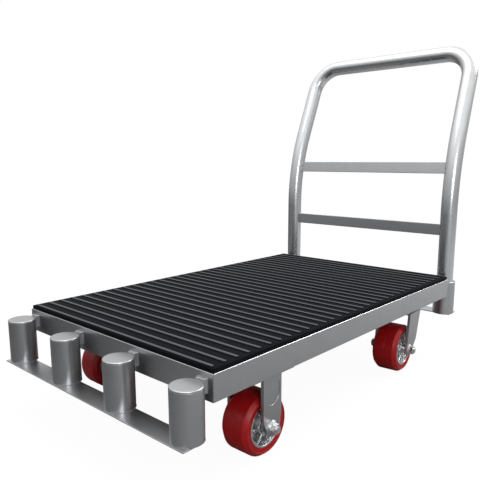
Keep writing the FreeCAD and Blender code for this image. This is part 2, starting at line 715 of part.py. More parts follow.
def caster_nodes():
    rigid_x = DECK_X + RIGID_X
    kingpin_x = DECK_X + KINGPIN_X
    nodes = {
        "rigid_axle_bolts": pair(axle_bolt(), rigid_x, RIGID_Y),
        "rigid_axle_nuts": pair(axle_nut(), rigid_x, RIGID_Y),
        "rigid_bushings": pair(bushing(), rigid_x, RIGID_Y),
        "kingpins": pair(kingpin(), kingpin_x, KINGPIN_Y),
        "caster_bolts": Part.makeCompound([moved(caster_bolt(), x, y, 0) for x, y in caster_bolt_sites()]),
        "caster_nuts": Part.makeCompound([moved(caster_nut(), x, y, 0) for x, y in caster_bolt_sites()]),
    }
    for name, side in (("left", 1), ("right", -1)):
        rigid_y, kingpin_y = side * RIGID_Y, side * KINGPIN_Y
        nodes[f"rigid_fork_{name}"] = moved(rigid_fork(), rigid_x, rigid_y, 0)
        nodes[f"swivel_plate_{name}"] = moved(swivel_plate(), kingpin_x, kingpin_y, 0)
        nodes[f"swivel_race_{name}"] = moved(swivel_race(), kingpin_x, kingpin_y, 0)
        for piece, shape in wheel_nodes().items():
            nodes[f"{piece}_rear_{name}"] = moved(shape, rigid_x, rigid_y, 0)
        swivelling = {
            f"swivel_fork_{name}": swivel_fork(),
            f"swivel_axle_bolt_{name}": moved(facing(axle_bolt(), side), -TRAIL, 0, 0),
            f"swivel_axle_nut_{name}": moved(facing(axle_nut(), side), -TRAIL, 0, 0),
            f"swivel_bushing_{name}": moved(bushing(), -TRAIL, 0, 0),
        }
        for piece, shape in wheel_nodes().items():
            swivelling[f"{piece}_front_{name}"] = moved(shape, -TRAIL, 0, 0)
        for node, shape in swivelling.items():
            nodes[node] = moved(swivelled(shape, side), kingpin_x, kingpin_y, 0)
    return nodes


def main():
    os.makedirs("parts", exist_ok=True)
    nodes = {**frame_nodes(), **socket_nodes(), **handle_nodes(), **caster_nodes()}
    for name, shape in nodes.items():
        shape.exportStep(f"parts/{name}.step")
        box_of = shape.BoundBox
        print(f"{name}: {len(shape.Solids)} solids, {shape.Volume:.0f} mm3, valid {shape.isValid()}, "
              f"x {box_of.XMin:.1f}..{box_of.XMax:.1f}, y {box_of.YMin:.1f}..{box_of.YMax:.1f}, "
              f"z {box_of.ZMin:.1f}..{box_of.ZMax:.1f}")
    print(f"{len(nodes)} nodes, deck centre at x = {DECK_X:.2f}")


main()
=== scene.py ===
"""Looks for a platform cart: ribbed deck, stake sockets, lift-out push handle and four casters.

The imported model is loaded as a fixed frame, and every piece made here sits on it. Metres,
+X along the deck towards the handle, +Y to the left, +Z up, with the floor at z = 0.
"""
import json
import math

import bmesh
import bpy
from bpy.props import FloatProperty, FloatVectorProperty, IntProperty, PointerProperty, StringProperty
from mathutils import Matrix, Vector


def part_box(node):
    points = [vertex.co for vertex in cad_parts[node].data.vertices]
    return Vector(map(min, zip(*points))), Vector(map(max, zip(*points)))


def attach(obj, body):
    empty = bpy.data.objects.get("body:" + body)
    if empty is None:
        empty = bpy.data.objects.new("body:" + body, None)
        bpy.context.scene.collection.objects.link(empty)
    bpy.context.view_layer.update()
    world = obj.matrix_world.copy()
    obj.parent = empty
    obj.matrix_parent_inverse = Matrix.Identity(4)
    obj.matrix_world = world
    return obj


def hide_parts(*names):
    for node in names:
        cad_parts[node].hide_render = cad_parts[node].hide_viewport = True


bl_info = {
    "name": "Platform cart",
    "version": (1, 0, 0),
    "blender": (4, 5, 0),
    "location": "View3D > Sidebar > Cart",
    "description": "Makes the mat, wheels, welds, fasteners and finishes of a platform cart",
    "category": "Object",
}

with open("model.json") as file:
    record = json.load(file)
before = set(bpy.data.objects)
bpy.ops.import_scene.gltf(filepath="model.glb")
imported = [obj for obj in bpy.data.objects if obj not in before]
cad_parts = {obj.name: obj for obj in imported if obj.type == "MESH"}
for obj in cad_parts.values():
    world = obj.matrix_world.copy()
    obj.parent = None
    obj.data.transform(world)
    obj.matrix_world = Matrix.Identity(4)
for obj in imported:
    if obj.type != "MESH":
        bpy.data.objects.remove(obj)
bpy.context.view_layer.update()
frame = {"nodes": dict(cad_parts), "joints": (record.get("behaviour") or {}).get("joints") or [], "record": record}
MM = 0.001
SIDES = ("left", "right")
ENDS = ("front", "rear")


# ---- small helpers ----
def box_centre(node):
    low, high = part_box(node)
    return (low + high) / 2


def linear(hex_colour):
    """An sRGB hex colour as the linear RGBA that a shader reads."""
    channels = [int(hex_colour[i:i + 2], 16) / 255 for i in (1, 3, 5)]
    return [c / 12.92 if c <= 0.04045 else ((c + 0.055) / 1.055) ** 2.4 for c in channels] + [1.0]


def add(tree, kind, inputs=None, **settings):
    """Adds a node, sets its properties, and fills or links its inputs by name or number."""
    node = tree.nodes.new(kind)
    for name, value in settings.items():
        setattr(node, name, value)
    for name, value in (inputs or {}).items():
        if isinstance(value, bpy.types.NodeSocket):
            tree.links.new(value, node.inputs[name])
        else:
            node.inputs[name].default_value = value
    return node


def new_material(name):
    material = bpy.data.materials.new(name)
    material.use_nodes = True
    tree = material.node_tree
    tree.nodes.clear()
    return material, tree


def finish_material(tree, shader):
    add(tree, "ShaderNodeOutputMaterial", {"Surface": shader.outputs[0]})


def ramp(tree, factor, stops, interpolation="LINEAR"):
    """A colour ramp with the given (position, grey or RGBA) stops."""
    node = add(tree, "ShaderNodeValToRGB", {"Fac": factor})
    elements = node.color_ramp.elements
    node.color_ramp.interpolation = interpolation
    while len(elements) < len(stops):
        elements.new(0.5)
    for element, (position, colour) in zip(elements, stops):
        element.position = position
        element.color = (colour, colour, colour, 1) if isinstance(colour, float) else colour
    return node


def object_coordinates(tree):
    return add(tree, "ShaderNodeTexCoord").outputs["Object"]


def noise(tree, coordinates, size_mm, detail=3.0, stretch=(1, 1, 1)):
    """Noise whose blobs are about size_mm across, drawn out along an axis by a small stretch."""
    mapped = add(tree, "ShaderNodeMapping", {"Vector": coordinates, "Scale": stretch})
    scale = 1 / (size_mm * MM)
    return add(tree, "ShaderNodeTexNoise", {"Vector": mapped.outputs[0], "Scale": scale, "Detail": detail})


def bump(tree, height, depth_mm, strength):
    return add(tree, "ShaderNodeBump", {"Height": height, "Distance": depth_mm * MM, "Strength": strength})


# ---- making and finishing pieces ----
def mesh_object(name, build):
    """An unplaced object whose mesh is filled in by build(bm)."""
    bm = bmesh.new()
    build(bm)
    bmesh.ops.recalc_face_normals(bm, faces=bm.faces)
    mesh = bpy.data.meshes.new(name)
    bm.to_mesh(mesh)
    bm.free()
    piece = bpy.data.objects.new(name, mesh)
    bpy.context.scene.collection.objects.link(piece)
    return piece


def bake(piece, sharp_degrees=35.0):
    """Turns the evaluated object into a plain mesh, shaded smooth except over sharp edges."""
    evaluated = piece.evaluated_get(bpy.context.evaluated_depsgraph_get())
    mesh = bpy.data.meshes.new_from_object(evaluated)
    piece.modifiers.clear()
    piece.data = mesh
    mesh.polygons.foreach_set("use_smooth", [True] * len(mesh.polygons))
    mesh.set_sharp_from_angle(angle=math.radians(sharp_degrees))
    return piece


def body_of_node(node):
    bodies = frame["record"]["behaviour"]["bodies"]
    return next(body for body, members in bodies.items() if node in members)


def settle(piece, node, material, stands_for=()):
    """Gives a finished piece its material, slot and body, and hides the CAD nodes it stands for."""
    if not piece.data.materials:
        piece.data.materials.append(material)
    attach(piece, body_of_node(node))
    if stands_for:
        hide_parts(*stands_for)


def joint_axis(name):
    return next(Vector(joint["axis"]) for joint in frame["joints"] if joint["name"] == name)


def merged_copy(bm, node):
    """The CAD node's mesh with its loose triangles joined and flat areas made whole."""
    bm.from_mesh(frame["nodes"][node].data)
    bmesh.ops.remove_doubles(bm, verts=bm.verts, dist=0.01 * MM)
    bmesh.ops.dissolve_limit(bm, angle_limit=math.radians(0.4), verts=bm.verts, edges=bm.edges)


def softened(name, node, radius, material, clamp=True):
    """The CAD piece again, with its hard edges rounded so that they catch the light.

    With clamp off, short edges elsewhere on a straight piece don't shrink the rounding.
    """
    piece = mesh_object(name, lambda bm: merged_copy(bm, node))
    piece.data.polygons.foreach_set("use_smooth", [True] * len(piece.data.polygons))
    edge = piece.modifiers.new("edge", "BEVEL")
    edge.width, edge.segments = radius, 2
    edge.limit_method, edge.angle_limit = "ANGLE", math.radians(38)
    edge.use_clamp_overlap = clamp
    even = piece.modifiers.new("even", "WEIGHTED_NORMAL")
    even.keep_sharp = True
    evaluated = piece.evaluated_get(bpy.context.evaluated_depsgraph_get())
    mesh = bpy.data.meshes.new_from_object(evaluated)
    piece.modifiers.clear()
    piece.data = mesh
    settle(piece, node, material, (node,))
    return piece


def turned(bm, profile, steps):
    """A closed (radius, place) profile revolved about the Y axis."""
    rings = []
    for step in range(steps):
        angle = 2 * math.pi * step / steps
        rings.append([bm.verts.new((r * math.cos(angle), y, r * math.sin(angle))) for r, y in profile])
    count = len(profile)
    for step in range(steps):
        here, there = rings[step], rings[(step + 1) % steps]
        for i in range(count):
            j = (i + 1) % count
            bm.faces.new((here[i], here[j], there[j], there[i]))


def rounded_profile(points, steps=4):
    """A closed (radius, place, fillet) outline with each corner replaced by an arc."""
    outline = []
    count = len(points)
    for i in range(count):
        corner = Vector(points[i][:2])
        before, after = Vector(points[i - 1][:2]), Vector(points[(i + 1) % count][:2])
        back, ahead = (before - corner).normalized(), (after - corner).normalized()
        fillet = points[i][2]
        if fillet <= 0:
            outline.append(tuple(corner))
            continue
        half = back.angle(ahead) / 2
        reach = fillet / math.tan(half)
        centre = corner + (back + ahead).normalized() * fillet / math.sin(half)
        start = (corner + back * reach - centre).normalized()
        end = (corner + ahead * reach - centre).normalized()
        for step in range(steps + 1):
            outline.append(tuple(centre + start.slerp(end, step / steps) * fillet))
    return outline


def group_tree(name, sizes):
    """A geometry node tree with a geometry in and out, and named number inputs."""
    tree = bpy.data.node_groups.new(name, "GeometryNodeTree")
    tree.interface.new_socket("Geometry", in_out="INPUT", socket_type="NodeSocketGeometry")
    for label, kind in sizes.items():
        tree.interface.new_socket(label, in_out="INPUT", socket_type=kind)
    tree.interface.new_socket("Geometry", in_out="OUTPUT", socket_type="NodeSocketGeometry")
    return tree, tree.nodes.new("NodeGroupInput")


def end_tree(tree, instances, source):
    """Ends a tree in Realize Instances and Set Material."""
    real = add(tree, "GeometryNodeRealizeInstances", {"Geometry": instances})
    finish = add(tree, "GeometryNodeSetMaterial", {
        "Geometry": real.outputs[0], "Material": source.outputs["Material"]})
    add(tree, "NodeGroupOutput", {"Geometry": finish.outputs[0]})


def grow(piece, tree, values):
    """Runs a geometry node tree on the piece with the given inputs, and keeps the plain result."""
    modifier = piece.modifiers.new(tree.name, "NODES")
    modifier.node_group = tree
    for item in tree.interface.items_tree:
        if item.in_out == "INPUT" and item.name in values:
            modifier[item.identifier] = values[item.name]
    return bake(piece)


# ---- materials ----
def rolled_steel(name, colour, rough, grain_mm=2.0):
    """Zinc-bright rolled mild steel, satin.

    Rolling and plating leave a soft grey mirror with a faint cloudy mottle and fine grain.
    """
    material, tree = new_material(name)
    where = object_coordinates(tree)
    cloud = noise(tree, where, 45.0, 4.0)
    grain = noise(tree, where, grain_mm, 2.0)
    light = linear(colour)
    dark = [c * 0.94 for c in light[:3]] + [1.0]
    tone = ramp(tree, cloud.outputs["Fac"], [(0.3, dark), (0.7, light)])
    blur = add(tree, "ShaderNodeMapRange", {
        "Value": cloud.outputs["Fac"], "To Min": rough + 0.02, "To Max": rough - 0.02})
    relief = bump(tree, grain.outputs["Fac"], 0.02, 0.15)
    finish_material(tree, add(tree, "ShaderNodeBsdfPrincipled", {
        "Base Color": tone.outputs[0], "Metallic": 1.0, "Roughness": blur.outputs[0],
        "Normal": relief.outputs[0]}))
    return material


def moulded_rubber(name, valley, crest, crest_height):
    """EPDM deck matting, compression moulded: near black and dull in the valleys.

    Near the top of each rib the colour is painted paler, a painted highlight where the light catches the crest,
    and the specular level rises there.
    """
    material, tree = new_material(name)
    where = object_coordinates(tree)
    height = add(tree, "ShaderNodeSeparateXYZ", {"Vector": where}).outputs["Z"]
    # Painted highlight: near the top of each rib the colour turns from the valley's near black to the paler crest
    # grey.
    crest_highlight = add(tree, "ShaderNodeMapRange", {
        "Value": height, "From Min": crest_height - 0.9 * MM, "From Max": crest_height - 0.15 * MM})
    # Random patches along each rib make the painted highlight uneven.
    highlight_patches = noise(tree, where, 30.0, 5.0, (1.0, 0.15, 1.0))
    patchy = add(tree, "ShaderNodeMapRange", {"Value": highlight_patches.outputs["Fac"], "To Min": 0.75, "To Max": 1.1})
    amount = add(tree, "ShaderNodeMath", {0: crest_highlight.outputs[0], 1: patchy.outputs[0]}, operation="MULTIPLY")
    tone = ramp(tree, amount.outputs[0], [(0.0, linear(valley)), (1.0, linear(crest))])
    sheen = add(tree, "ShaderNodeMapRange", {"Value": amount.outputs[0], "To Min": 0.01, "To Max": 0.16})
    relief = bump(tree, noise(tree, where, 1.5, 3.0).outputs["Fac"], 0.06, 0.3)
    finish_material(tree, add(tree, "ShaderNodeBsdfPrincipled", {
        "Base Color": tone.outputs[0], "Roughness": 0.5, "Specular IOR Level": sheen.outputs[0],
        "Normal": relief.outputs[0]}))
    return material


def cast_elastomer(name, colour):
    """Polyurethane tread, cast and turned: deep red, satin, faintly mottled where it has rolled."""
    material, tree = new_material(name)
    where = object_coordinates(tree)
    mottle = noise(tree, where, 22.0, 4.0)
    light = linear(colour)
    tone = ramp(tree, mottle.outputs["Fac"], [(0.3, [c * 0.8 for c in light[:3]] + [1.0]), (0.7, light)])
    relief = bump(tree, noise(tree, where, 1.2, 2.0).outputs["Fac"], 0.04, 0.4)
    finish_material(tree, add(tree, "ShaderNodeBsdfPrincipled", {
        "Base Color": tone.outputs[0], "Roughness": 0.36, "Specular IOR Level": 0.3,
        "Normal": relief.outputs[0]}))
    return material


def cast_aluminium(name, colour):
    """Die-cast aluminium wheel centre: bright, with a fine sand-like skin that blurs reflections."""
    material, tree = new_material(name)
    where = object_coordinates(tree)
    skin = noise(tree, where, 1.6, 3.0)
    patch = noise(tree, where, 18.0, 3.0)
    light = linear(colour)
    tone = ramp(tree, patch.outputs["Fac"], [(0.3, [c * 0.85 for c in light[:3]] + [1.0]), (0.7, light)])
    relief = bump(tree, skin.outputs["Fac"], 0.06, 0.5)
    finish_material(tree, add(tree, "ShaderNodeBsdfPrincipled", {
        "Base Color": tone.outputs[0], "Metallic": 1.0, "Roughness": 0.27, "Normal": relief.outputs[0]}))
    return material


def birch_plywood(name):
    """Rotary-cut plywood board, unpainted: long wavy grain along the deck, seen only from below."""
    material, tree = new_material(name)
    where = object_coordinates(tree)
    grain = noise(tree, where, 9.0, 5.0, (0.06, 1.0, 1.0))
    tone = ramp(tree, grain.outputs["Fac"], [(0.3, linear("#8A6A45")), (0.7, linear("#B89468"))])
    relief = bump(tree, grain.outputs["Fac"], 0.15, 0.5)
    finish_material(tree, add(tree, "ShaderNodeBsdfPrincipled", {
        "Base Color": tone.outputs[0], "Roughness": 0.65, "Normal": relief.outputs[0]}))
    return material


def stage_paper(name, far, near, shade):
    """Backdrop paper lit from behind: white to the eye with a trace of shade under the cart.

    To every ray but the camera's it shows a painted reflection: grey, darker behind the cart's left and paler
    ahead on its right, which polished metal mirrors.
    """
    material, tree = new_material(name)
    towards_near = (0.6, -0.8, 0)
    across = add(tree, "ShaderNodeVectorMath", {
        0: object_coordinates(tree), 1: towards_near}, operation="DOT_PRODUCT")
    place = add(tree, "ShaderNodeMapRange", {
        "Value": across.outputs["Value"], "From Min": -1.5, "From Max": 1.8})
    # Painted reflection: the grey that reflected and bounced rays see, darker far behind and paler near.
    tone = ramp(tree, place.outputs[0], [(0.0, far), (1.0, near)])
    path = add(tree, "ShaderNodeLightPath")
    glow = add(tree, "ShaderNodeEmission", {"Color": (1, 1, 1, 1), "Strength": 1.0})
    white = add(tree, "ShaderNodeBsdfDiffuse", {"Color": (0.9, 0.9, 0.9, 1)})
    seen = add(tree, "ShaderNodeMixShader", {0: shade, 1: glow.outputs[0], 2: white.outputs[0]})
    grey = add(tree, "ShaderNodeBsdfDiffuse", {"Color": tone.outputs[0]})
    finish_material(tree, add(tree, "ShaderNodeMixShader", {
        0: path.outputs["Is Camera Ray"], 1: grey.outputs[0], 2: seen.outputs[0]}))
    return material


def paint(node, material):
    """Puts one material on a CAD node's object."""
    slots = frame["nodes"][node].material_slots
    if not slots:
        frame["nodes"][node].data.materials.append(material)
    for slot in frame["nodes"][node].material_slots:
        slot.material = material


# ---- the settings a user would change ----
class CartMatSettings(bpy.types.PropertyGroup):
    ribs: IntProperty(name="Ribs", description="How many ribs cross the deck", default=32, min=1)
    pitch: FloatProperty(
        name="Rib pitch", description="Distance from rib to rib",
        default=38.1 * MM, unit="LENGTH")
    rib_width: FloatProperty(
        name="Rib width", description="Width of one rib at its foot",
        default=14 * MM, unit="LENGTH")
    rib_height: FloatProperty(
        name="Rib height", description="Height of a rib over the mat",
        default=3 * MM, unit="LENGTH")
    end_setback: FloatProperty(
        name="End setback", description="From the mat's edge to a rib's end",
        default=6 * MM, unit="LENGTH")
    valley: StringProperty(
        name="Valley colour", description="Rubber between the ribs, sRGB hex",
        default="#121316")
    # Painted highlight: the crest colour is the paler grey painted on the rib tops.
    crest: StringProperty(
        name="Crest colour", description="Worn rubber on the ribs, sRGB hex",
        default="#48494D")


class CartWheelSettings(bpy.types.PropertyGroup):
    spokes: IntProperty(name="Spokes", description="Ribs between the hub and the rim", default=6, min=3)
    spoke_thickness: FloatProperty(
        name="Spoke thickness", description="Thickness of one spoke",
        default=8 * MM, unit="LENGTH")
    rim_inner: FloatProperty(
        name="Rim inner radius", description="Radius inside the rim",
        default=49 * MM, unit="LENGTH")
    hub_radius: FloatProperty(
        name="Hub radius", description="Outer radius of the hub",
        default=26 * MM, unit="LENGTH")
    web: FloatProperty(
        name="Web thickness", description="Disc between the hub and the rim",
        default=12 * MM, unit="LENGTH")
    flat: FloatProperty(
        name="Tread flat", description="Half width of the tread's flat part",
        default=30 * MM, unit="LENGTH")
    tread_colour: StringProperty(name="Tread colour", description="Wheel tread, sRGB hex", default="#A01014")


class CartWeldSettings(bpy.types.PropertyGroup):
    bead: FloatProperty(
        name="Bead radius", description="Radius of a weld bead",
        default=0.8 * MM, unit="LENGTH")
    step: FloatProperty(
        name="Ripple step", description="Distance between weld ripples",
        default=1.0 * MM, unit="LENGTH")


class CartScrewSettings(bpy.types.PropertyGroup):
    pitch: FloatProperty(
        name="Thread pitch", description="Lock screw thread pitch",
        default=1.5 * MM, unit="LENGTH")
    depth: FloatProperty(
        name="Thread depth", description="Lock screw thread depth",
        default=0.8 * MM, unit="LENGTH")


class CartFinishSettings(bpy.types.PropertyGroup):
    edge: FloatProperty(
        name="Edge radius", description="Rounding of the steel's edges",
        default=0.9 * MM, unit="LENGTH")
    rail_edge: FloatProperty(
        name="Rail edge radius", description="Rounding of the deck frame's rails",
        default=1.5 * MM, unit="LENGTH")
    frame_colour: StringProperty(
        name="Frame colour", description="Steel of the deck frame, sRGB hex",
        default="#B4B5B7")
    handle_colour: StringProperty(
        name="Handle colour", description="Steel of the handle tube, sRGB hex",
        default="#CFD0D2")
    bright_colour: StringProperty(
        name="Bright colour", description="Nuts, bolts and screws, sRGB hex",
        default="#DADBDD")


class CartStageSettings(bpy.types.PropertyGroup):
    eye: FloatVectorProperty(
        name="Camera place", description="Where the camera stands",
        subtype="TRANSLATION", unit="LENGTH", default=(-1.4305, -1.140, 0.717))
    lens: FloatProperty(
        name="Lens", description="Focal length on a 36 mm sensor, in millimetres",
        default=41.3)
    heading: FloatProperty(
        name="Heading", description="Camera direction from +X towards +Y",
        subtype="ANGLE", default=math.radians(42.46))
    pitch: FloatProperty(
        name="Pitch", description="Camera tilt below the horizon",
        subtype="ANGLE", default=math.radians(10.21))
    # Painted reflection: floor tones seen only by reflected and bounced rays, not by the camera.
    floor_far: FloatProperty(
        name="Floor, far", description="Paper tone that metal mirrors behind the left",
        default=0.10)
    floor_near: FloatProperty(
        name="Floor, near", description="Paper tone that metal mirrors ahead on the right",
        default=0.33)


# ---- the steps ----
class CART_OT_mat(bpy.types.Operator):
    """Make the rubber mat with its row of round-ended ribs"""
    bl_idname = "cart.mat"
    bl_label = "Ribbed mat"

    def execute(self, context):
        settings = context.scene.cart_mat
        low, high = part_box("ribbed_mat")
        middle = (low + high) / 2
        mat_top = high.z - settings.rib_height
        edge = 2 * MM

        def slab(bm):
            bmesh.ops.create_cube(bm, size=1.0)
            size = Vector((high.x - low.x, high.y - low.y, mat_top - low.z))
            bmesh.ops.scale(bm, vec=size, verts=bm.verts)
            bmesh.ops.translate(bm, vec=(middle.x, middle.y, (mat_top + low.z) / 2), verts=bm.verts)
            rim = [e for e in bm.edges if all(v.co.z > mat_top - MM for v in e.verts)]
            bmesh.ops.bevel(bm, geom=rim, offset=edge, segments=4, affect="EDGES", profile=0.5)

        def rib(bm):
            """One rib at the first place, a stadium in plan with an elliptic crown."""
            half = settings.rib_width / 2
            reach = high.y - settings.end_setback - half
            across, rise = 12, 10
            rings = []
            for level in range(rise + 1):
                angle = math.pi / 2 * level / rise
                spread = half * math.cos(angle) if level < rise else 0.02 * half
                top = mat_top + settings.rib_height * math.sin(angle)
                loop = []
                for side in (1, -1):
                    for step in range(across + 1):
                        turn = math.pi * step / across - (0 if side > 0 else math.pi)
                        x, y = spread * math.cos(turn), side * reach + spread * math.sin(turn)
                        loop.append(bm.verts.new((x, y, top)))
                rings.append(loop)
            count = len(rings[0])
            for lower, upper in zip(rings, rings[1:]):
                for i in range(count):
                    j = (i + 1) % count
                    bm.faces.new((lower[i], lower[j], upper[j], upper[i]))
            bm.faces.new(rings[-1])
            bm.faces.new(rings[0][::-1])

        tree, source = group_tree("Row of ribs", {
            "Count": "NodeSocketInt", "Pitch": "NodeSocketFloat", "First": "NodeSocketFloat",
            "Slab": "NodeSocketObject", "Material": "NodeSocketMaterial"})
        start = add(tree, "ShaderNodeCombineXYZ", {"X": source.outputs["First"]})
        stride = add(tree, "ShaderNodeCombineXYZ", {"X": source.outputs["Pitch"]})
        row = add(tree, "GeometryNodeMeshLine", {
            "Count": source.outputs["Count"], "Start Location": start.outputs[0],
            "Offset": stride.outputs[0]})
        ribs = add(tree, "GeometryNodeInstanceOnPoints", {
            "Points": row.outputs[0], "Instance": source.outputs["Geometry"]})
        base = add(tree, "GeometryNodeObjectInfo", {"Object": source.outputs["Slab"]})
        both = add(tree, "GeometryNodeJoinGeometry")
        tree.links.new(ribs.outputs[0], both.inputs[0])
        tree.links.new(base.outputs["Geometry"], both.inputs[0])
        end_tree(tree, both.outputs[0], source)

        rubber = moulded_rubber("Moulded EPDM rubber, black", settings.valley, settings.crest, high.z)
        slab_object = mesh_object("mat_slab", slab)
        piece = mesh_object("ribbed_mat.moulded", rib)
        grow(piece, tree, {
            "Count": settings.ribs, "Pitch": settings.pitch, "Slab": slab_object, "Material": rubber,
            "First": middle.x - (settings.ribs - 1) * settings.pitch / 2})
        bpy.data.objects.remove(slab_object)
        settle(piece, "ribbed_mat", rubber, ("ribbed_mat",))
        return {"FINISHED"}


class CART_OT_wheels(bpy.types.Operator):
    """Make the four cast wheel centres with spokes, and their treads"""
    bl_idname = "cart.wheels"
    bl_label = "Wheels"

    def execute(self, context):
        settings = context.scene.cart_wheel
        casting = cast_aluminium("Die-cast aluminium", "#E4E5E6")
        elastomer = cast_elastomer("Cast polyurethane, red", settings.tread_colour)
        low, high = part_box("wheel_core_rear_left")
        core_radius, core_half = (high.z - low.z) / 2, (high.y - low.y) / 2
        low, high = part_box("wheel_bearings_rear_left")
        bearing_radius = (high.z - low.z) / 2
        low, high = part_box("wheel_tread_rear_left")
        tread_radius, tread_half = (high.z - low.z) / 2, (high.y - low.y) / 2
        web, hub, rim = settings.web / 2, settings.hub_radius, settings.rim_inner

        def centre(bm):
            turned(bm, rounded_profile([
                (core_radius, -core_half, 0.8 * MM), (core_radius, core_half, 0.8 * MM),
                (rim + 2 * MM, core_half, 1.2 * MM), (rim - 2.5 * MM, web, 3 * MM),
                (hub + 1.5 * MM, web, 3 * MM), (hub, core_half, 1.2 * MM),
                (bearing_radius, core_half, 0.5 * MM), (bearing_radius, -core_half, 0.5 * MM),
                (hub, -core_half, 1.2 * MM), (hub + 1.5 * MM, -web, 3 * MM),
                (rim - 2.5 * MM, -web, 3 * MM), (rim + 2 * MM, -core_half, 1.2 * MM)]), 96)

        def spoke(bm):
            bmesh.ops.create_cube(bm, size=1.0)
            size = Vector((rim - hub + 2 * MM, 2 * (core_half - 5 * MM), settings.spoke_thickness))
            bmesh.ops.scale(bm, vec=size, verts=bm.verts)
            for vert in bm.verts:
                if abs(vert.co.y) > core_half / 2:
                    vert.co.z *= 0.7
                    if vert.co.x < 0:
                        vert.co.y += math.copysign(3 * MM, vert.co.y)
            bmesh.ops.bevel(bm, geom=bm.edges[:], offset=2.2 * MM, segments=3, affect="EDGES", profile=0.5)

        def tyre(bm):
            """The tread's section: sloped sides, a flat face, and a fine mould line round its middle."""
            shoulder, side, bead = tread_radius - 10 * MM, core_half, core_radius + 10 * MM
            face = tread_radius - 0.3 * MM
            turned(bm, rounded_profile([
                (core_radius, -side, 0), (bead, -side, 1.5 * MM), (shoulder, -tread_half, 2 * MM),
                (face, -settings.flat, 5 * MM), (face, -0.9 * MM, 0), (tread_radius, -0.4 * MM, 0),
                (tread_radius, 0.4 * MM, 0), (face, 0.9 * MM, 0), (face, settings.flat, 5 * MM),
                (shoulder, tread_half, 2 * MM), (bead, side, 1.5 * MM), (core_radius, side, 0)]), 128)

        tree, source = group_tree("Ring of spokes", {
            "Count": "NodeSocketInt", "Radius": "NodeSocketFloat", "Body": "NodeSocketObject",
            "Material": "NodeSocketMaterial"})
        circle = add(tree, "GeometryNodeMeshCircle", {
            "Vertices": source.outputs["Count"], "Radius": source.outputs["Radius"]})
        upright = add(tree, "GeometryNodeTransform", {
            "Geometry": circle.outputs[0], "Rotation": (math.pi / 2, 0, 0)})
        place = add(tree, "GeometryNodeInputPosition")
        facing = add(tree, "FunctionNodeAlignRotationToVector", {
            "Vector": place.outputs[0]}, axis="X", pivot_axis="Y")
        arms = add(tree, "GeometryNodeInstanceOnPoints", {
            "Points": upright.outputs[0], "Instance": source.outputs["Geometry"],
            "Rotation": facing.outputs[0]})
        base = add(tree, "GeometryNodeObjectInfo", {"Object": source.outputs["Body"]})
        both = add(tree, "GeometryNodeJoinGeometry")
        tree.links.new(arms.outputs[0], both.inputs[0])
        tree.links.new(base.outputs["Geometry"], both.inputs[0])
        end_tree(tree, both.outputs[0], source)

        for end in ENDS:
            for side in SIDES:
                where = f"{end}_{side}"
                axis = joint_axis(f"wheel_spin_{where}")
                turn = math.atan2(-axis.x, axis.y)
                put = Matrix.Translation(box_centre(f"wheel_tread_{where}")) @ Matrix.Rotation(turn, 4, "Z")
                body = mesh_object("centre_body", centre)
                core = mesh_object(f"wheel_centre_{where}", spoke)
                grow(core, tree, {
                    "Count": settings.spokes, "Radius": (rim + hub) / 2, "Body": body, "Material": casting})
                bpy.data.objects.remove(body)
                core.data.transform(put)
                settle(core, f"wheel_core_{where}", casting, (f"wheel_core_{where}",))
                tread = bake(mesh_object(f"wheel_tyre_{where}", tyre), 30.0)
                tread.data.transform(put)
                settle(tread, f"wheel_tread_{where}", elastomer, (f"wheel_tread_{where}",))
        return {"FINISHED"}


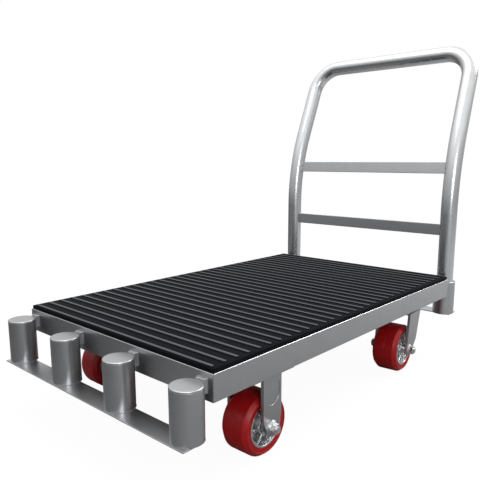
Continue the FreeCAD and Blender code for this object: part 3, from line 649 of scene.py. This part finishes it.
class CART_OT_welds(bpy.types.Operator):
    """Lay rippled weld beads along the joints of the welded steel"""
    bl_idname = "cart.welds"
    bl_label = "Weld beads"

    def execute(self, context):
        settings = context.scene.cart_weld
        steel = rolled_steel("Weld metal, zinc plated", "#8E8F92", 0.5)
        tree, source = group_tree("Rippled bead", {
            "Radius": "NodeSocketFloat", "Step": "NodeSocketFloat", "Material": "NodeSocketMaterial"})
        line = add(tree, "GeometryNodeMeshToCurve", {"Mesh": source.outputs["Geometry"]})
        points = add(tree, "GeometryNodeCurveToPoints", {
            "Curve": line.outputs[0], "Length": source.outputs["Step"]}, mode="LENGTH")
        drop = add(tree, "GeometryNodeMeshIcoSphere", {"Radius": source.outputs["Radius"], "Subdivisions": 2})
        size = add(tree, "FunctionNodeRandomValue", {2: 0.85, 3: 1.1, "Seed": 7}, data_type="FLOAT")
        beads = add(tree, "GeometryNodeInstanceOnPoints", {
            "Points": points.outputs[0], "Instance": drop.outputs[0], "Scale": size.outputs[1]})
        end_tree(tree, beads.outputs[0], source)

        def lay(name, node, paths):
            def build(bm):
                for path in paths:
                    verts = [bm.verts.new(point) for point in path]
                    for first, second in zip(verts, verts[1:]):
                        bm.edges.new((first, second))
            piece = mesh_object(name, build)
            grow(piece, tree, {"Radius": settings.bead, "Step": settings.step, "Material": steel})
            settle(piece, node, steel)

        for end in ENDS:
            strip_low, strip_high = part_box(f"base_strip_{end}")
            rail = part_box(f"end_rail_{end}")
            rail_face = rail[1].x if end == "front" else rail[0].x
            neck_low, neck_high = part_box(f"socket_necks_{end}")
            feet, seams = [], []
            for number in (1, 2, 3, 4):
                low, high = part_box(f"socket_{end}_{number}")
                centre = (low + high) / 2
                radius = (high.x - low.x) / 2
                foot = []
                for step in range(145):
                    angle = 2 * math.pi * step / 144
                    y = centre.y + radius * math.sin(angle)
                    if abs(y) < strip_high.y - settings.bead:
                        foot.append((centre.x + radius * math.cos(angle), y, low.z))
                    elif foot:
                        feet.append(foot)
                        foot = []
                feet.append(foot)
            lay(f"welds_socket_feet_{end}", f"base_strip_{end}", feet)
            outer_low, outer_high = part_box(f"socket_{end}_4")
            half = neck_high.y - (outer_low.y + outer_high.y) / 2
            for number in (1, 2, 3, 4):
                y = box_centre(f"socket_{end}_{number}").y
                for side in (-1, 1):
                    seams.append([(rail_face, y + side * half, neck_low.z + settings.bead),
                                  (rail_face, y + side * half, neck_high.z - settings.bead)])
            lay(f"welds_necks_{end}", f"socket_necks_{end}", seams)
        return {"FINISHED"}


class CART_OT_lock_screws(bpy.types.Operator):
    """Make the two lock screws with real threads"""
    bl_idname = "cart.lock_screws"
    bl_label = "Lock screws"

    def execute(self, context):
        settings = context.scene.cart_screw
        steel = rolled_steel("Machined steel, bright zinc", context.scene.cart_finish.bright_colour, 0.2)
        for side in SIDES:
            node = f"lock_screw_{side}"
            low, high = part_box(node)
            centre = (low + high) / 2
            shank = 5.0 * MM
            head = high.x - 7.0 * MM

            def away(point):
                return math.hypot(point.y - centre.y, point.z - centre.z)

            def build(bm):
                merged_copy(bm, node)
                plain = [f for f in bm.faces if all(away(v.co) < shank * 1.02 for v in f.verts)]
                bmesh.ops.delete(bm, geom=plain, context="FACES")
                chamfer = settings.pitch
                around, rows = 32, int((head - low.x) / settings.pitch * 8)
                rings = []
                for row in range(rows + 1):
                    x = low.x + (head - low.x) * row / rows
                    loop = []
                    for step in range(around):
                        turn = step / around
                        phase = (x / settings.pitch - turn) % 1.0
                        cut = settings.depth * (1 - abs(2 * phase - 1))
                        near_tip = max(0.0, chamfer - (x - low.x))
                        radius = min(shank - cut, shank - near_tip)
                        angle = 2 * math.pi * turn
                        y, z = centre.y + radius * math.cos(angle), centre.z + radius * math.sin(angle)
                        loop.append(bm.verts.new((x, y, z)))
                    rings.append(loop)
                for here, there in zip(rings, rings[1:]):
                    for i in range(around):
                        j = (i + 1) % around
                        bm.faces.new((here[i], here[j], there[j], there[i]))
                bm.faces.new(rings[0][::-1])

            piece = bake(mesh_object(f"{node}.threaded", build), 40.0)
            settle(piece, node, steel, (node,))
        return {"FINISHED"}


class CART_OT_finishes(bpy.types.Operator):
    """Round the hard edges of the steel and give every kept CAD piece its material"""
    bl_idname = "cart.finishes"
    bl_label = "Finishes"

    def execute(self, context):
        settings = context.scene.cart_finish
        sheet = rolled_steel("Rolled steel sheet, satin zinc", settings.frame_colour, 0.33)
        tube = rolled_steel("Drawn steel tube, bright zinc", settings.handle_colour, 0.27)
        bar = rolled_steel("Flat steel bar, satin", settings.frame_colour, 0.42)
        fork = rolled_steel("Pressed steel, zinc plated", settings.frame_colour, 0.34)
        bolt = rolled_steel("Turned steel, bright zinc", settings.bright_colour, 0.22)
        board = birch_plywood("Rotary-cut plywood")
        round_these = {
            "side_rail_": sheet, "end_rail_": sheet, "base_strip_": sheet, "socket_": sheet,
            "handle_crossbar_": bar, "rigid_fork_": fork, "swivel_fork_": fork, "swivel_plate_": fork}
        for node, shown in frame["nodes"].items():
            if shown.hide_render:
                continue
            kind = next((prefix for prefix in round_these if node.startswith(prefix)), None)
            if kind and node != "socket_caps":
                straight = "_rail_" in node or "crossbar" in node
                edge = settings.rail_edge if "_rail_" in node else settings.edge
                softened(f"{node}.rounded", node, edge, round_these[kind], clamp=not straight)
            elif node == "deck_board":
                paint(node, board)
            elif node == "handle_tube":
                paint(node, tube)
            elif node.startswith("swivel_race"):
                paint(node, fork)
            elif any(word in node for word in ("bolt", "nut", "bearings", "kingpin", "bushing")):
                paint(node, bolt)
            else:
                paint(node, sheet)
        return {"FINISHED"}


class CART_OT_stage(bpy.types.Operator):
    """Make the floor, the light and the camera"""
    bl_idname = "cart.stage"
    bl_label = "Stage"

    def execute(self, context):
        settings = context.scene.cart_stage
        mesh = bpy.data.meshes.new("floor")
        half = 30.0
        corners = [(-half, -half, 0), (half, -half, 0), (half, half, 0), (-half, half, 0)]
        mesh.from_pydata(corners, [], [(0, 1, 2, 3)])
        floor = bpy.data.objects.new("floor", mesh)
        context.scene.collection.objects.link(floor)
        trace_of_shade = 0.04
        # The far and near tones are a painted reflection, seen only by rays other than the camera's.
        mesh.materials.append(stage_paper(
            "Backlit backdrop paper", settings.floor_far, settings.floor_near, trace_of_shade))

        world = bpy.data.worlds.new("studio")
        context.scene.world = world
        world.use_nodes = True
        tree = world.node_tree
        tree.nodes.clear()
        direction = add(tree, "ShaderNodeTexCoord").outputs["Generated"]
        height = add(tree, "ShaderNodeSeparateXYZ", {"Vector": direction}).outputs["Z"]
        rise = add(tree, "ShaderNodeMapRange", {"Value": height, "From Min": -1.0, "From Max": 1.0})
        sky = ramp(tree, rise.outputs[0], [(0.0, 0.25), (0.5, 0.38), (0.62, 0.50), (0.75, 0.95), (1.0, 1.0)])
        path = add(tree, "ShaderNodeLightPath")
        lit = add(tree, "ShaderNodeBackground", {"Color": sky.outputs[0], "Strength": 1.25})
        seen = add(tree, "ShaderNodeBackground", {"Color": (1, 1, 1, 1), "Strength": 1.0})
        both = add(tree, "ShaderNodeMixShader", {
            0: path.outputs["Is Camera Ray"], 1: lit.outputs[0], 2: seen.outputs[0]})
        add(tree, "ShaderNodeOutputWorld", {"Surface": both.outputs[0]})

        def soft_box(name, place, target, size, power):
            data = bpy.data.lights.new(name, "AREA")
            data.shape = "RECTANGLE"
            data.size, data.size_y = size
            data.energy = power
            lamp = bpy.data.objects.new(name, data)
            lamp.location = place
            lamp.rotation_euler = (Vector(target) - Vector(place)).to_track_quat("-Z", "Y").to_euler()
            context.scene.collection.objects.link(lamp)

        soft_box("key_light", (3.2, -1.5, 3.0), (0.2, -0.1, 0.4), (2.0, 1.6), 130)
        soft_box("side_light", (-2.1, -3.0, 1.5), (-0.5, 0, 0.25), (0.8, 1.2), 26)
        soft_box("top_light", (-0.5, 0.5, 3.4), (0, 0, 0.2), (3.0, 2.0), 40)

        data = bpy.data.cameras.new("camera")
        data.sensor_width = 36.0
        data.lens = settings.lens
        data.shift_x, data.shift_y = 0.0026, 0.0371
        data.clip_start, data.clip_end = 0.05, 100
        camera = bpy.data.objects.new("camera", data)
        heading, pitch = settings.heading, settings.pitch
        level = math.cos(pitch)
        forward = Vector((math.cos(heading) * level, math.sin(heading) * level, -math.sin(pitch)))
        turn = forward.to_track_quat("-Z", "Y").to_matrix().to_4x4()
        roll = Matrix.Rotation(math.radians(-0.18), 4, "Z")
        camera.matrix_world = Matrix.Translation(settings.eye) @ turn @ roll
        context.scene.collection.objects.link(camera)
        context.scene.camera = camera
        context.scene.view_settings.view_transform = "Standard"
        return {"FINISHED"}


class CART_PT_panel(bpy.types.Panel):
    """Lists the steps that make the cart's looks"""
    bl_idname = "CART_PT_panel"
    bl_label = "Platform cart"
    bl_space_type = "VIEW_3D"
    bl_region_type = "UI"
    bl_category = "Cart"

    def draw(self, context):
        for group in (getattr(context.scene, name) for name in GROUPS):
            for name in group.__annotations__:
                self.layout.prop(group, name)
        for step in STEPS:
            self.layout.operator(step.bl_idname)


STEPS = (CART_OT_mat, CART_OT_wheels, CART_OT_welds, CART_OT_lock_screws, CART_OT_finishes, CART_OT_stage)
GROUPS = {
    "cart_mat": CartMatSettings, "cart_wheel": CartWheelSettings, "cart_weld": CartWeldSettings,
    "cart_screw": CartScrewSettings, "cart_finish": CartFinishSettings, "cart_stage": CartStageSettings,
}


def register():
    for cls in (*GROUPS.values(), *STEPS, CART_PT_panel):
        bpy.utils.register_class(cls)
    for name, group in GROUPS.items():
        setattr(bpy.types.Scene, name, PointerProperty(type=group))


def unregister():
    for name in GROUPS:
        delattr(bpy.types.Scene, name)
    for cls in (CART_PT_panel, *reversed(STEPS), *reversed(GROUPS.values())):
        bpy.utils.unregister_class(cls)


def main():
    register()
    for step in STEPS:
        group, name = step.bl_idname.split(".")
        getattr(getattr(bpy.ops, group), name)()


if __name__ == "__main__":
    main()
